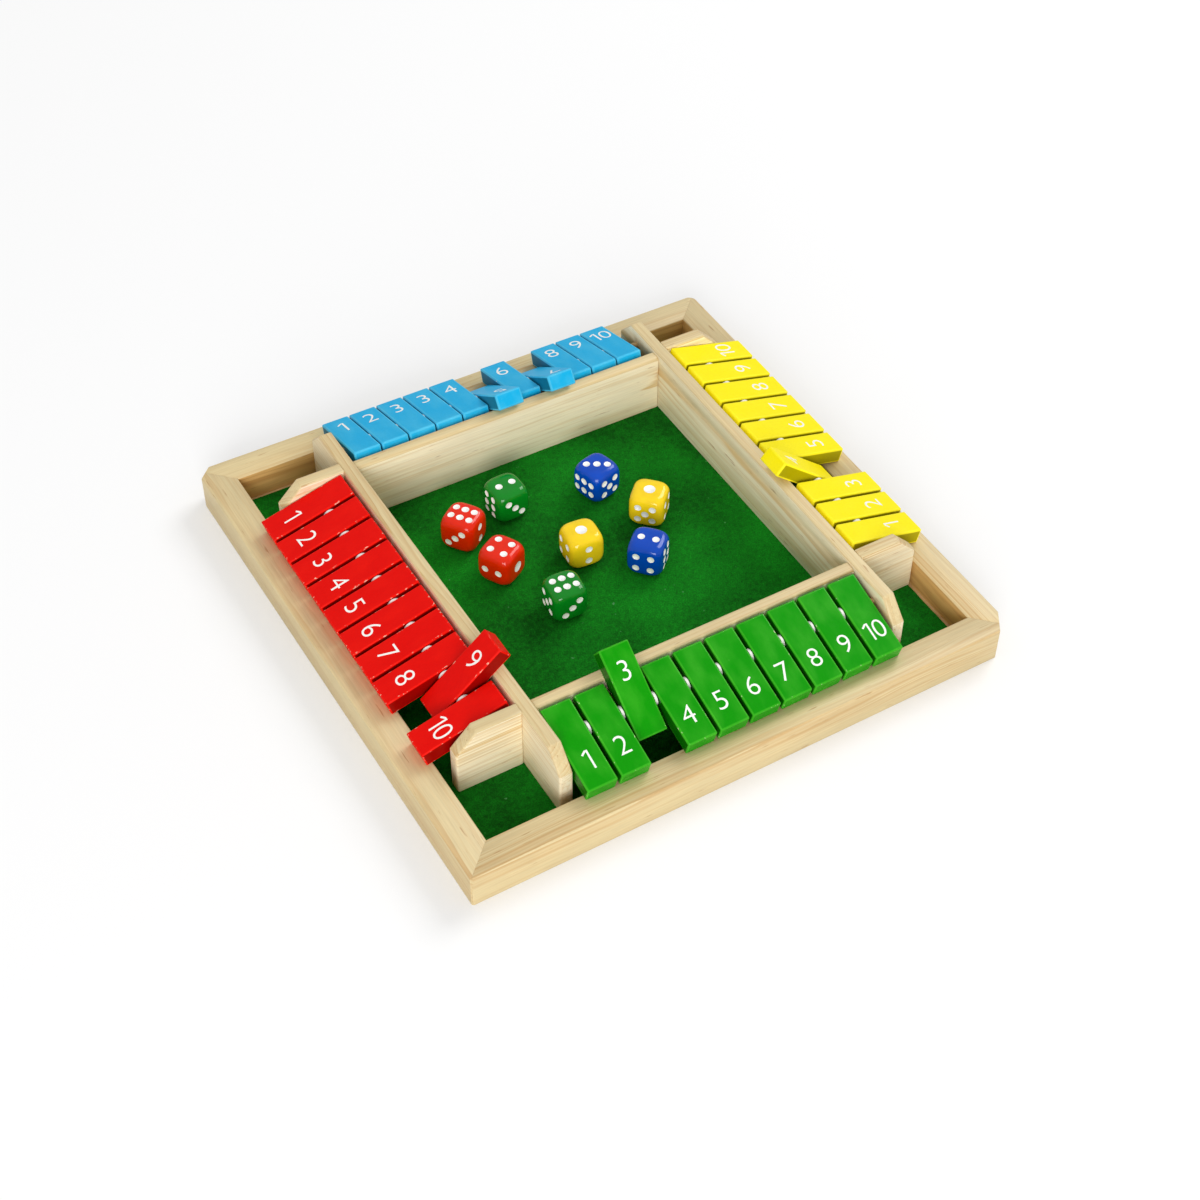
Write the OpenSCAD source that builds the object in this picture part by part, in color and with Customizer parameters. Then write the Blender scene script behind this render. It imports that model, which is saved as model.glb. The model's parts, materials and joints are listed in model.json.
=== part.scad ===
// Four-player shut the box game: a felt-lined tray with a mitred rim, an
// open lattice of dividers, four rows of flip-over number tiles on rods,
// and two dice for each player.
// The origin is the middle of the underside. The green player's row is
// at -Y, the red one at -X, the yellow one at +X and the blue one at +Y.

/* [Tray] */
// Outside width of the tray, left to right
board_w = 300; // [280:1:340]
// Outside depth of the tray, front to back
board_d = 300; // [280:1:340]
// Width of the rim rails
rail_w = 16; // [13:0.5:20]
// Height of the rim rails
rail_h = 19.5; // [17:0.5:21]
// Thickness of the base panel
panel_t = 3; // [2:0.5:5]
// Width of the ledge of panel housed under each rail
panel_lip = 6; // [3:0.5:7]
// Thickness of the felt
felt_t = 1; // [0.6:0.1:1.5]
// Bare strip between the felt and the rails
felt_margin = 2; // [0.5:0.5:4]
// Eased edges along the rails
rail_ease = 0.8; // [0.4:0.1:1.5]

/* [Tray corners] */
// Rounding of the back right corner
corner_round = 5.5; // [2:0.5:8]
// Flat planed off the front right corner, along the front
corner_flat_front = 7.5; // [6:0.5:12]
// Flat planed off the front right corner, along the right side
corner_flat_right = 11.5; // [6:0.5:12]
// Flat planed off the back left corner, along each side
corner_flat_left = 7; // [3:0.5:12]
// Arris taken off the front left corner, along each side
corner_arris = 1; // [0.5:0.1:3]

/* [Lattice] */
// Thickness of the dividers and cheeks
divider_t = 7; // [5:0.5:8]
// Height of the long dividers and cheeks above the felt
divider_h = 36; // [33:0.5:38]
// How much lower the cross dividers are
cross_drop = 1.3; // [0.3:0.1:2]
// Radius along the top edges of the cross dividers
cross_round = 2; // [1:0.1:2.5]
// Reach of the lattice's ends beyond its crossings
arm_l = 34; // [30:0.5:38]
// Length of the slope on each end
slope_l = 10.8; // [8:0.2:12]
// Height of the slope on each end
slope_h = 11; // [8:0.2:14]
// Gap between the lattice and the left rail
gap_left = 7; // [1:0.2:8]
// Gap between the lattice and the right rail
gap_right = 1; // [0.4:0.2:8]
// Gap between the lattice and the front rail
gap_front = 6.8; // [1:0.2:8]
// Gap between the lattice and the back rail
gap_back = 1.2; // [0.4:0.2:8]
// Eased edges of the lattice
divider_ease = 0.6; // [0.3:0.1:1]

/* [Rods] */
// Diameter of the rods
rod_dia = 3; // [2:0.1:4]
// Height of the rods above the felt
rod_h = 27.4; // [25:0.2:29]
// Depth of the holes that hold the rods
rod_socket = 5; // [3:0.2:5.5]
// Space left at the bottom of each hole
rod_end_gap = 0.5; // [0:0.1:1]
// Running clearance of a tile round its rod
rod_fit = 0.08; // [0.03:0.01:0.1]

/* [Number tiles] */
// Thickness of the tiles
tile_t = 8.6; // [7:0.1:9.5]
// Length of a tile from its rod to its short end
tile_inner = 15.5; // [13:0.1:17]
// How far a lowered tile laps over the widest channel's rail
rail_lap = 2.7; // [2:0.1:4]
// How much shorter the long ends of the back row's tiles are
tile_trim_back = 3; // [0:0.1:4]
// Gap between the tiles of the front, left and right rows
tile_gap = 2.1; // [1.2:0.05:3]
// Gap between the eleven tiles of the back row
tile_gap_back = 0.74; // [0.5:0.01:1]
// Space before the first tile of the front and left rows
row_start = 0.5; // [0.3:0.1:3]
// Space after the last tile of the front and left rows
row_end = 2.6; // [0.3:0.1:4]
// How much further back the right row and its cheeks sit
row_shift_right = 3.6; // [0:0.1:5]
// Space before the first tile of the right row
row_start_right = 4; // [0.3:0.1:6]
// Space after the last tile of the right row
row_end_right = 0.3; // [0.3:0.1:6]
// Space before the first tile of the back row
row_start_back = 3; // [0.3:0.1:6]
// Space after the last tile of the back row
row_end_back = 5.9; // [0.3:0.1:8]
// Eased edges of the green and red tiles
tile_ease = 0.6; // [0.3:0.1:1]
// Eased edges of the blue and yellow tiles
tile_ease_soft = 0.8; // [0.3:0.1:1.2]
// Gap between a swinging tile and its divider
swing_gap = 0.3; // [0.2:0.05:0.6]
// Gap between a resting tile and what it leans on
rest_gap = 0.04; // [0.02:0.01:0.1]

/* [Washers] */
// Diameter of the washers
washer_dia = 7; // [5:0.1:8]
// Side play between a washer and each tile beside it
washer_play = 0.4; // [0.1:0.05:0.5]
// Side play of the thin washers of the back row
washer_play_back = 0.14; // [0.08:0.01:0.2]

/* [Dice] */
// Width of a die across its flats
die_w = 19; // [15:0.1:20]
// Rounding along its edges
die_edge = 3.8; // [2:0.1:4.2]
// Diameter of the ball that rounds its corners
die_round = 26.2; // [25:0.1:28]
// Diameter of a pip
pip_dia = 3.9; // [3:0.1:4.2]
// Diameter of the single pip on the one
pip_dia_one = 6; // [4:0.1:7]
// Depth of the pips
pip_depth = 0.8; // [0.4:0.1:1.2]

/* [Hidden] */
$fn = 48;

// Heights of the layers
felt_z = panel_t;
floor_z = panel_t + felt_t;
divider_top = floor_z + divider_h;
cross_top = divider_top - cross_drop;
rod_z = floor_z + rod_h;

// The lattice: its pit, its middle and its ends
opening_w = board_w - 2*rail_w;
opening_d = board_d - 2*rail_w;
pit_w = opening_w - gap_left - gap_right - 2*arm_l - 2*divider_t;
pit_d = opening_d - gap_front - gap_back - 2*arm_l - 2*divider_t;
mid_x = (gap_left - gap_right)/2;
mid_y = (gap_front - gap_back)/2;

// The tiles: swing round the rod, length over the rail, and the two rests
inner_sweep = norm([tile_inner, tile_t/2]);
rod_out = inner_sweep + swing_gap;
rest_x = arm_l + max(gap_left, gap_right, gap_front, gap_back) - rod_out
    + rail_lap;
rest_z = rod_z - rail_h - rest_gap;
function rest_of(side) = [rest_x - (side == "blue" ? tile_trim_back : 0), rest_z];
function reach(side) =
    ease_of(side) + sqrt(pow(norm(rest_of(side)), 2) - tile_t*tile_t/4);
function tile_tilt(side) =
    atan2(rest_z, rest_of(side).x) - asin(tile_t/2/norm(rest_of(side)));
// Slope of a flipped tile that touches a point x inside its rod and z above
function lean(x, z, d) = atan2(z, x) + asin(d/norm([x, z]));
lean_cross = lean(rod_out + cross_round, cross_top - cross_round - rod_z,
    tile_t/2 + cross_round + rest_gap);
lean_long = lean(rod_out + divider_ease, divider_top - rod_z,
    tile_t/2 + rest_gap);
function flip_turn(side) =
    180 + tile_tilt(side) - (side == "red" || side == "yellow" ? lean_long : lean_cross);

// The rows: which way each faces, what it spans and how it is filled
SIDES = ["green", "yellow", "blue", "red"];
function row_turn(side) = 90*search([side], SIDES)[0];
function along(side) = side == "green" || side == "blue" ? pit_w : pit_d;
function across(side) = side == "green" || side == "blue" ? pit_d : pit_w;
// Leading and trailing space in the row's own direction
function lead(side) = side == "blue" ? row_end_back
    : side == "yellow" ? row_start_right : row_start;
function trail(side) = side == "blue" ? row_start_back
    : side == "yellow" ? row_end_right : row_end;
function shift(side) = side == "yellow" ? row_shift_right : 0;
function gap_of(side) = side == "blue" ? tile_gap_back : tile_gap;
function ease_of(side) =
    side == "blue" || side == "yellow" ? tile_ease_soft : tile_ease;
// Tiles in the order in which they lie along the row
TILES = [
    ["green", ["1", "2", "3", "4", "5", "6", "7", "8", "9", "10"]],
    ["yellow", ["1", "2", "3", "4", "5", "6", "7", "8", "9", "10"]],
    ["blue", ["10", "9", "8", "7", "6", "5", "4", "3b", "3a", "2", "1"]],
    ["red", ["1", "2", "3", "4", "5", "6", "7", "8", "9", "10"]],
];
// Tiles that are shut in the shown state of play
FLIPPED = ["green_3", "yellow_4", "blue_5", "blue_7", "red_9"];
function labels(side) = [for (t = TILES) if (t[0] == side) each t[1]];
function tile_pitch(side) =
    (along(side) - lead(side) - trail(side) + gap_of(side))/len(labels(side));
function tile_w(side) = tile_pitch(side) - gap_of(side);
function tile_at(side, i) =
    shift(side) + lead(side) - along(side)/2 + tile_w(side)/2 + i*tile_pitch(side);

// The dice: colour, place as shares of the pit from its middle, face on top
// and turn
DICE = [
    ["die_red_a", "red", -0.2893, 0.2736, 6, 216],
    ["die_red_b", "red", -0.2584, 0.1022, 4, 300],
    ["die_green_a", "green", -0.1264, 0.3213, 2, 273],
    ["die_green_b", "green", -0.1742, -0.1084, 6, 266],
    ["die_yellow_a", "yellow", 0.2247, 0.0966, 1, 135],
    ["die_yellow_b", "yellow", -0.0309, 0.0489, 1, -5],
    ["die_blue_a", "blue", 0.1461, 0.2652, 3, 195],
    ["die_blue_b", "blue", 0.1180, -0.0747, 2, 43],
];
// Turns that bring faces one to six to the top
FACE_UP = [[0, 0, 0], [-90, 0, 0], [0, -90, 0], [0, 90, 0], [90, 0, 0], [180, 0, 0]];
pip_step = 0.206*die_w;
pip_long = 0.272*die_w;
pip_short = 0.165*die_w;

TILE_NODES = [for (t = TILES) for (label = t[1]) str("tile_", t[0], "_", label)];

PINE = "#dcb98a";
FELT = "#1f5d33";
COLOURS = [["green", "#13613a"], ["yellow", "#e8bb2a"], ["blue", "#2b5fa6"],
    ["red", "#c02a2a"]];
function colour(side) = [for (c = COLOURS) if (c[0] == side) c[1]][0];

// A rectangle from the origin's middle with its corners eased
module eased_rect(x, y, ease) {
    a = x/2;
    b = y/2;
    e = ease;
    polygon([[-a + e, -b], [a - e, -b], [a, -b + e], [a, b - e],
        [a - e, b], [-a + e, b], [-a, b - e], [-a, -b + e]]);
}

// A block round the origin with all twelve edges eased
module eased_block(size, ease) {
    intersection() {
        linear_extrude(size.z, center = true) eased_rect(size.x, size.y, ease);
        rotate([90, 0, 0]) linear_extrude(size.y, center = true)
            eased_rect(size.x, size.z, ease);
        rotate([90, 0, 90]) linear_extrude(size.x, center = true)
            eased_rect(size.y, size.z, ease);
    }
}

// One rail of the rim, as if for the front: a rabbeted section, mitred at
// both ends, with its outer face at y = 0
module rail(length) {
    h = rail_h;
    e = rail_ease;
    intersection() {
        rotate([90, 0, 90]) linear_extrude(length, center = true)
            polygon([[0, 0], [rail_w - panel_lip, 0], [rail_w - panel_lip, panel_t],
                [rail_w, panel_t], [rail_w, h - e], [rail_w - e, h],
                [e, h], [0, h - e]]);
        linear_extrude(h)
            polygon([[-length/2, 0], [length/2, 0], [length/2 - rail_w, rail_w],
                [-length/2 + rail_w, rail_w]]);
    }
}

// What is planed off an outer corner at the origin that points along -X -Y
module corner_plane(x, y) {
    translate([0, 0, -1]) linear_extrude(rail_h + 2)
        polygon([[-1, -1], [x + x/y, -1], [-1, y + y/x]]);
}

// What is sanded off a rounded outer corner, the same way round
module corner_sand(r) {
    difference() {
        translate([-1, -1, -1]) cube([r + 1, r + 1, rail_h + 2]);
        translate([r, r, -2]) cylinder(r = r, h = rail_h + 4);
    }
}

// All four corners' waste, in place
module corner_waste() {
    translate([-board_w/2, -board_d/2, 0]) corner_plane(corner_arris, corner_arris);
    translate([board_w/2, -board_d/2, 0]) rotate(90)
        corner_plane(corner_flat_right, corner_flat_front);
    translate([board_w/2, board_d/2, 0]) rotate(180) corner_sand(corner_round);
    translate([-board_w/2, board_d/2, 0]) rotate(270)
        corner_plane(corner_flat_left, corner_flat_left);
}

module placed_rail(turn, length, half_span) {
    color(PINE) difference() {
        rotate(turn) translate([0, -half_span, 0]) rail(length);
        corner_waste();
    }
}
module rail_front() placed_rail(0, board_w, board_d/2);
module rail_right() placed_rail(90, board_d, board_w/2);
module rail_back() placed_rail(180, board_w, board_d/2);
module rail_left() placed_rail(270, board_d, board_w/2);

module base_panel() {
    color("#c9a070") translate([0, 0, panel_t/2])
        cube([opening_w + 2*panel_lip, opening_d + 2*panel_lip, panel_t], center = true);
}

module felt() {
    color(FELT) translate([0, 0, felt_z + felt_t/2])
        cube([opening_w - 2*felt_margin, opening_d - 2*felt_margin, felt_t], center = true);
}

// Upright board, thick along X and long along Y, whose ends marked 1 slope
module sloped_board(from, to, slopes) {
    h = divider_h;
    sl = slope_l;
    zl = h - slope_h;
    head = slopes[0] ? [[from, zl], [from + sl, h]] : [[from, h]];
    tail = slopes[1] ? [[to - sl, h], [to, zl]] : [[to, h]];
    intersection() {
        rotate([90, 0, 90]) linear_extrude(divider_t, center = true)
            polygon(concat([[to, 0], [from, 0]], head, tail));
        translate([0, (from + to)/2, h/2]) rotate([90, 0, 0])
            linear_extrude(to - from, center = true)
                eased_rect(divider_t, h, divider_ease);
    }
}

// The holes that hold one row's rod, and the rod itself, along X
module row_bores(side) {
    rotate(row_turn(side))
        translate([shift(side), -across(side)/2 - divider_t - rod_out, rod_z])
            rotate([0, 90, 0])
                cylinder(d = rod_dia, h = along(side) + 2*rod_socket, center = true);
}
module row_rod(side) {
    length = along(side) + 2*(rod_socket - rod_end_gap);
    rotate(row_turn(side))
        translate([shift(side), -across(side)/2 - divider_t - rod_out, rod_z])
            rotate([0, 90, 0]) cylinder(d = rod_dia, h = length, center = true);
}

module long_dividers() {
    end = pit_d/2 + divider_t + arm_l;
    color(PINE) translate([mid_x, mid_y, 0]) difference() {
        for (s = [-1, 1])
            translate([s*(pit_w + divider_t)/2, 0, floor_z])
                sloped_board(-end, end, [1, 1]);
        row_bores("green");
        row_bores("blue");
    }
}

module cross_dividers() {
    r = cross_round;
    top = cross_top - floor_z;
    color(PINE) translate([mid_x, mid_y, floor_z])
        for (s = [-1, 1])
            translate([0, s*(pit_d + divider_t)/2, 0])
                rotate([90, 0, 90]) linear_extrude(pit_w, center = true) union() {
                    translate([-divider_t/2, 0]) square([divider_t, top - r]);
                    translate([-divider_t/2 + r, 0]) square([divider_t - 2*r, top]);
                    for (e = [-1, 1])
                        translate([e*(divider_t/2 - r), top - r]) circle(r);
                }
}

module cheeks() {
    inner = pit_w/2 + divider_t;
    color(PINE) translate([mid_x, mid_y, 0]) difference() {
        for (side = ["red", "yellow"], y = [-1, 1])
            translate([0, shift(side) + y*(pit_d + divider_t)/2, floor_z])
                rotate(side == "red" ? 90 : -90)
                    sloped_board(inner, inner + arm_l, [0, 1]);
        row_bores("red");
        row_bores("yellow");
    }
}

module rods() {
    color("#b9a98c") translate([mid_x, mid_y, 0])
        for (side = SIDES) row_rod(side);
}

// One washer in each gap between neighbouring tiles
module washers() {
    color("#f2efe8") translate([mid_x, mid_y, 0]) for (side = SIDES) {
        play = side == "blue" ? washer_play_back : washer_play;
        gap = gap_of(side);
        rotate(row_turn(side))
            translate([0, -across(side)/2 - divider_t - rod_out, rod_z])
                for (i = [0 : len(labels(side)) - 2])
                    translate([tile_at(side, i) + tile_pitch(side)/2, 0, 0])
                        rotate([0, 90, 0]) difference() {
                            cylinder(d = washer_dia, h = gap - 2*play, center = true);
                            cylinder(d = rod_dia + 2*rod_fit, h = gap, center = true);
                        }
    }
}

// A tile on its rod: long end along -Y, level, with the rod along X
module tile(w, outer, ease) {
    difference() {
        translate([0, (tile_inner - outer)/2, 0])
            eased_block([w, tile_inner + outer, tile_t], ease);
        rotate([0, 90, 0])
            cylinder(d = rod_dia + 2*rod_fit, h = w + 2, center = true);
    }
}

// Tile i of a row, lowered onto the rail or flipped over the divider
module placed_tile(side, i) {
    name = str(side, "_", labels(side)[i]);
    shut = len([for (f = FLIPPED) if (f == name) f]) > 0;
    angle = tile_tilt(side) - (shut ? flip_turn(side) : 0);
    color(colour(side)) translate([mid_x, mid_y, 0]) rotate(row_turn(side))
        translate([tile_at(side, i), -across(side)/2 - divider_t - rod_out, rod_z])
            rotate([angle, 0, 0]) tile(tile_w(side), reach(side), ease_of(side));
}

// The waste of one pip on the top face, at x and y
module pip(x, y, dia) {
    ball = (dia*dia/4 + pip_depth*pip_depth)/(2*pip_depth);
    translate([x, y, die_w/2 + ball - pip_depth]) sphere(ball);
}

// Pip places on the faces one to six, each seen from above its face
function pip_places(n) =
    let (s = pip_step, l = pip_long, c = pip_short)
    n == 1 ? [[0, 0]]
    : n == 2 ? [[0, -s], [0, s]]
    : n == 3 ? [[-s, s], [0, 0], [s, -s]]
    : n == 4 ? [[-s, -s], [-s, s], [s, -s], [s, s]]
    : n == 5 ? [[-s, -s], [-s, s], [0, 0], [s, -s], [s, s]]
    : [for (x = [-c, c], y = [-l, 0, l]) [x, y]];

// A square bar through the origin, with its four long edges rounded
module rounded_bar(w, r) {
    linear_extrude(w, center = true) union() {
        square([w, w - 2*r], center = true);
        square([w - 2*r, w], center = true);
        for (x = [-1, 1], y = [-1, 1]) translate([x, y]*(w/2 - r)) circle(r);
    }
}

// A die with its one on top; the two faces -Y and the three +X
module die() {
    turns = [[0, 0, 0], [90, 0, 0], [0, 90, 0], [0, -90, 0], [-90, 0, 0], [180, 0, 0]];
    difference() {
        intersection() {
            rounded_bar(die_w, die_edge);
            rotate([90, 0, 0]) rounded_bar(die_w, die_edge);
            rotate([0, 90, 0]) rounded_bar(die_w, die_edge);
            sphere(d = die_round);
        }
        for (n = [1 : 6]) rotate(turns[n - 1])
            for (p = pip_places(n)) pip(p.x, p.y, n == 1 ? pip_dia_one : pip_dia);
    }
}

module placed_die(d) {
    color(colour(d[1]))
        translate([mid_x + d[2]*pit_w, mid_y + d[3]*pit_d, floor_z + die_w/2])
        rotate(d[5]) rotate(FACE_UP[d[4] - 1]) die();
}

base_panel();
felt();
rail_front();
rail_back();
rail_left();
rail_right();
long_dividers();
cross_dividers();
cheeks();
rods();
washers();
for (side = SIDES, i = [0 : len(labels(side)) - 1])
    placed_tile(side, i);
for (d = DICE)
    placed_die(d);
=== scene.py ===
import json
import math
import random

import bpy
from bpy.props import FloatProperty, FloatVectorProperty, PointerProperty, StringProperty
from bpy.types import Operator, Panel, PropertyGroup
from mathutils import Matrix, Vector, noise


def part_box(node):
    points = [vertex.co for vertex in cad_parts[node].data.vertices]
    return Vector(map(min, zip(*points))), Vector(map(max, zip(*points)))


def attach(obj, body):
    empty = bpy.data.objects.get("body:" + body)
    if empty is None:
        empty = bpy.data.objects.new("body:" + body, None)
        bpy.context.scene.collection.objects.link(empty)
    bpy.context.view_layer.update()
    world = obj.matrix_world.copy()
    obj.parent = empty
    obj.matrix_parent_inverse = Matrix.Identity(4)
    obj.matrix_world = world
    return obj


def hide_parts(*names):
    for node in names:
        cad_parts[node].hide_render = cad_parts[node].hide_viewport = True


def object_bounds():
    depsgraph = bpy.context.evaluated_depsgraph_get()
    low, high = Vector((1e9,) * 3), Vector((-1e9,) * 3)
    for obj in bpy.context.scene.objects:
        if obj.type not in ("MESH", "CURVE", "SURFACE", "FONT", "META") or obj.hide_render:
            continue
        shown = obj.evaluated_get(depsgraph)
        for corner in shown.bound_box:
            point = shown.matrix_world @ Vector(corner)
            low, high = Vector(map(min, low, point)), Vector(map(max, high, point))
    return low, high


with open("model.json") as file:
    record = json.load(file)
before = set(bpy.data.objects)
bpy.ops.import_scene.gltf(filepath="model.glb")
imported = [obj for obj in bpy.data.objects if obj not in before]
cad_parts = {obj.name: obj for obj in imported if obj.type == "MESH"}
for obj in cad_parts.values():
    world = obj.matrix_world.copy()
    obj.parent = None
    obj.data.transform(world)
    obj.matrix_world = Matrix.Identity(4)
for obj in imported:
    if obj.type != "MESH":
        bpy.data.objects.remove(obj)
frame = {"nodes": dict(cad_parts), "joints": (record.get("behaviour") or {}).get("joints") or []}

bl_info = {
    "name": "Shut the box game",
    "version": (1, 0, 0),
    "blender": (4, 5, 0),
    "location": "View3D > Sidebar > Game",
    "description": "Models and finishes a four-player shut the box game round its frame",
    "category": "Object",
}

MM = 0.001
NEAR = 0.1 * MM  # slack when edges and points are picked by their place
UP = Vector((0, 0, 1))
JOINTS = {joint["name"]: joint for joint in frame["joints"]}
CAD_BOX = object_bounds()
ROWS = {"green": 0, "yellow": 90, "blue": 180, "red": 270}  # turn of each player's row


# Sizes and colours -------------------------------------------------------

def size(name, text, default, unit="LENGTH"):
    """A length in metres, or an angle in radians, that a user may change."""
    return FloatProperty(name=name, description=text, default=default, unit=unit, precision=5)


def amount(name, text, default, low=0.0, high=1.0):
    """A plain number that a user may change."""
    return FloatProperty(name=name, description=text, default=default, min=low, max=high)


def shade(name, text, default):
    """A colour as an sRGB hex value."""
    return StringProperty(name=name, description=text, default=default)


class GameWood(PropertyGroup):
    """The pale pine of the rim and the lattice, and the base."""
    early: shade("Earlywood", "Pale wood between the rings", "#DDC998")
    late: shade("Latewood", "Darker wood of the rings", "#C4985A")
    # painted light: the lattice's upright faces take this paler copy of the pine, for the light
    # that falls on them
    board_early: shade("Boards' earlywood", "Pale wood on the walls of the lattice", "#F8ECCC")
    board_late: shade("Boards' latewood", "Darker wood on the walls of the lattice", "#D6B06C")
    # a darker, browner copy of the pine for the rails' inward faces
    inside: shade("Inner walls", "Darker toned wood on the rim's inner walls", "#D8AC68")
    panel: shade("Panel", "Face veneer of the base panel", "#D3B07E")
    rod: shade("Rods", "Bare wood of the rods", "#C9A879")
    ring: size("Ring width", "Usual spacing of the growth rings", 2.0 * MM)
    rail_width: size("Rail width", "Width of the rim rails", 16 * MM)
    rail_height: size("Rail height", "Height of the rim rails", 19.5 * MM)
    lip: size("Housing", "Width of the panel housed under a rail", 6 * MM)
    board: size("Board", "Thickness of the dividers and cheeks", 7 * MM)
    arm: size("Arm", "Reach of the lattice beyond its crossings", 34 * MM)
    slope_length: size("Slope length", "Length of the slope on each end", 10.8 * MM)
    slope_height: size("Slope height", "Height of the slope on each end", 11 * MM)
    rounding: size("Round top", "Radius along the top of the cross dividers", 2 * MM)
    ease: size("Eased edge", "Rounding of the rails' edges", 0.8 * MM)
    ease_board: size("Eased board", "Rounding of the lattice's edges", 1.0 * MM)
    ease_end: size("Eased end", "Rounding of the cross dividers' end edges", 0.8 * MM)
    seam: size("Seam", "Width of the fine groove at each joint", 0.22 * MM)
    rabbet: size("Rabbet", "Height of the rabbet that houses the panel", 3 * MM)
    arris: size("Front left corner", "Sanded off the front left corner", 1 * MM)
    flat_front: size("Front right corner, front", "Flat along the front", 7.5 * MM)
    flat_side: size("Front right corner, side", "Flat along the right side", 11.5 * MM)
    flat_left: size("Back left corner", "Flat on the back left corner", 7 * MM)
    corner_round: size("Back right corner", "Radius of the back right corner", 5.5 * MM)
    rod_hole: size("Rod hole", "Diameter of the holes for the rods", 3 * MM)
    socket: size("Rod socket", "Depth of the holes for the rods", 4.5 * MM)


class GameFelt(PropertyGroup):
    """The felt that lines the tray."""
    colour: shade("Felt", "Colour of the felt", "#044808")
    light: shade("Nap", "Colour where the nap catches the light", "#148C1C")
    ragged: size("Ragged edge", "How far the cut edge wanders", 0.4 * MM)


class GameTiles(PropertyGroup):
    """The painted number tiles and their numerals."""
    green: shade("Green", "Paint of the front row", "#0E9202")
    yellow: shade("Yellow", "Paint of the right row", "#FFEE00")
    blue: shade("Blue", "Paint of the back row", "#16AEE2")
    red: shade("Red", "Paint of the left row", "#DE0600")
    white: shade("Numerals", "Paint of the numerals", "#F4F4EE")
    thickness: size("Thickness", "Thickness of a tile", 8.6 * MM)
    inner: size("Short end", "Length from the rod to the short end", 15.5 * MM)
    outer: size("Long end", "Length from the rod to the long end, less the ease", 29.466 * MM)
    outer_back: size("Long end at the back", "The same for the blue tiles", 26.709 * MM)
    tilt: size("Rest angle", "Slope of a lowered tile", math.radians(15.1679), "ROTATION")
    tilt_back: size("Rest angle at the back", "The same for the blue tiles",
                    math.radians(16.8560), "ROTATION")
    bore: size("Bore", "Diameter of the hole for the rod", 3.16 * MM)
    ease: size("Eased edge", "Rounding of the green and red tiles", 0.6 * MM)
    ease_soft: size("Soft edge", "Rounding of the blue and yellow tiles", 0.8 * MM)
    numeral: size("Numeral height", "Height of the numerals", 9.8 * MM)
    top_place: size("Numeral on top", "From the rod to the middle of the upper numeral", 16.0 * MM)
    under_place: size("Numeral below", "From the rod to the middle of the lower numeral", 17.3 * MM)


class GameDice(PropertyGroup):
    """The eight rounded dice."""
    green: shade("Green", "Green dice", "#06821C")
    yellow: shade("Yellow", "Yellow dice", "#FAD41C")
    blue: shade("Blue", "Blue dice", "#0046B8")
    red: shade("Red", "Red dice", "#E62400")
    white: shade("Pips", "Paint in the pips", "#FAFAF6")
    width: size("Width", "Width of a die across its flats", 19 * MM)
    dome: amount("Dome", "Power of the curve from face to face; 2 makes a ball", 5.8, 2, 12)
    ball: size("Corner ball", "Diameter of the ball that rounds the corners", 26.2 * MM)
    pip: size("Pip", "Diameter of a pip", 3.9 * MM)
    pip_one: size("Single pip", "Diameter of the pip on the one", 6.0 * MM)
    depth: size("Pip depth", "Depth of the pips", 0.8 * MM)
    pip_step: amount("Pip step", "From the middle to a corner pip, over the width", 0.206)
    pip_long: amount("Long step", "The same along the two rows of the six", 0.272)
    pip_short: amount("Short step", "The same between the two rows of the six", 0.165)


class GameStage(PropertyGroup):
    """The floor, the lamps and the camera."""
    floor: shade("Floor", "Colour of the floor", "#DEDEDE")
    glow: amount("Floor glow", "Light that the floor adds for the camera alone", 0.21)
    key: amount("Key lamp", "Power of the lamp high at the right, in watts", 48.0, 0, 500)
    fill: amount("Fill lamp", "Power of the soft lamp in front, in watts", 80.0, 0, 500)
    sky: amount("Surroundings", "Strength of the light from all round", 0.60, 0, 5)
    place: FloatVectorProperty(
        name="Camera", description="Place of the camera", subtype="TRANSLATION", unit="LENGTH",
        default=(-0.38108, -0.65305, 0.77420), precision=5)
    azimuth: size("Azimuth", "Turn about the vertical", math.radians(-37.779), "ROTATION")
    elevation: size("Elevation", "How far it looks down", math.radians(45.079), "ROTATION")
    roll: size("Roll", "Roll about the line of sight", math.radians(5.563), "ROTATION")
    lens: amount("Lens", "Focal length in millimetres on a 36 mm sensor", 63.234, 10, 300)
    shift_x: amount("Shift across", "Share of the picture's width", -0.16024, -1, 1)
    shift_y: amount("Shift up", "Share of the picture's width", -0.03198, -1, 1)


# Materials ---------------------------------------------------------------

def linear(hex_colour):
    """An sRGB hex value as linear red, green, blue and alpha."""
    parts = [int(hex_colour[i:i + 2], 16) / 255 for i in (1, 3, 5)]
    return [p / 12.92 if p <= 0.04045 else ((p + 0.055) / 1.055) ** 2.4 for p in parts] + [1.0]


def add(tree, kind, inputs=None, out=0, stops=(), **settings):
    """Adds a node, sets it, fills its sockets with values or links and gives back an output."""
    node = tree.nodes.new("ShaderNode" + kind)
    for name, value in settings.items():
        setattr(node, name, value)
    for socket, value in (inputs or {}).items():
        if isinstance(value, bpy.types.NodeSocket):
            tree.links.new(value, node.inputs[socket])
        else:
            node.inputs[socket].default_value = value
    for i, (position, grey) in enumerate(stops):
        elements = node.color_ramp.elements
        element = elements[i] if i < 2 else elements.new(position)
        element.position, element.color = position, (grey, grey, grey, 1)
    return node.outputs[out] if len(node.outputs) else node


def surface(name, make):
    """A material whose shader takes the sockets that make(tree) gives."""
    material = bpy.data.materials.get(name)
    if material:
        return material
    material = bpy.data.materials.new(name)
    material.use_nodes = True
    tree = material.node_tree
    tree.nodes.clear()
    add(tree, "OutputMaterial", {"Surface": add(tree, "BsdfPrincipled", make(tree))})
    return material


MIX = {"data_type": "RGBA"}
TIMES = {"data_type": "RGBA", "blend_type": "MULTIPLY"}


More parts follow.
